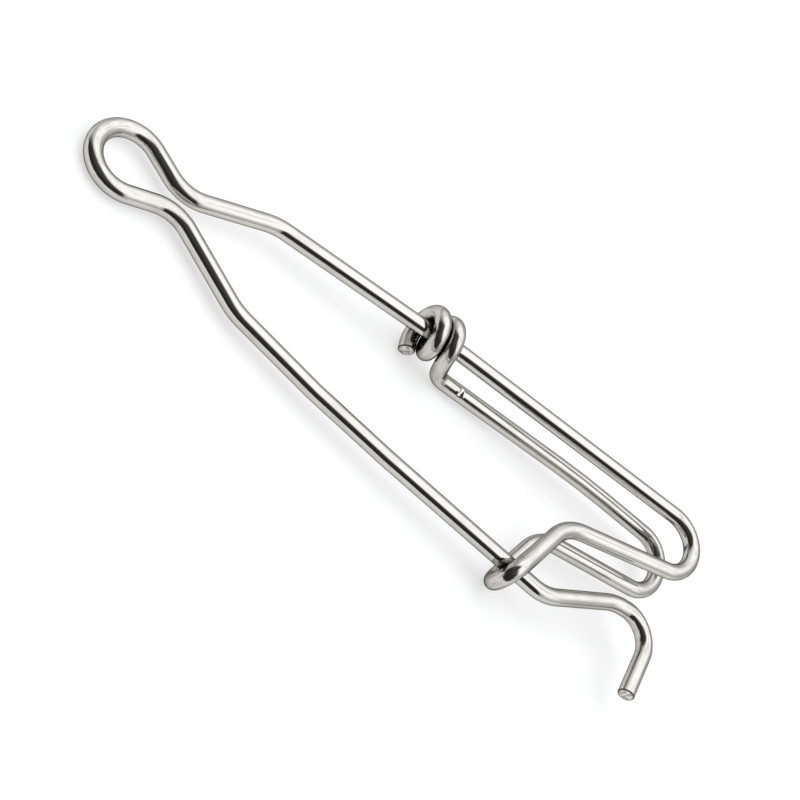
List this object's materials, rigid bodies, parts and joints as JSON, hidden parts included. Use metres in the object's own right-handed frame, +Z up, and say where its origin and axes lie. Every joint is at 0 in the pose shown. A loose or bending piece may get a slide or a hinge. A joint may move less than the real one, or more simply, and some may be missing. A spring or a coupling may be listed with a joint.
{
  "type": "fishing line clip",
  "caption": "Spring clip bent from one stainless wire, with an eye for a branch line and a doubled hook that holds its gate leg shut round a main line.",
  "frame": {"origin": "middle of the bottom of the clip's box, on the surface it lies on", "axes": "+X runs from the eye to the loop and the tail, +Y towards the back leg with the coil, +Z up from the surface"},
  "size_m": [0.1374, 0.0428, 0.0153],
  "materials": {
    "wire": "bright drawn stainless, faint drawing marks"
  },
  "bodies": {
    "root": {"clip_wire": "wire"}
  },
  "joints": []
}
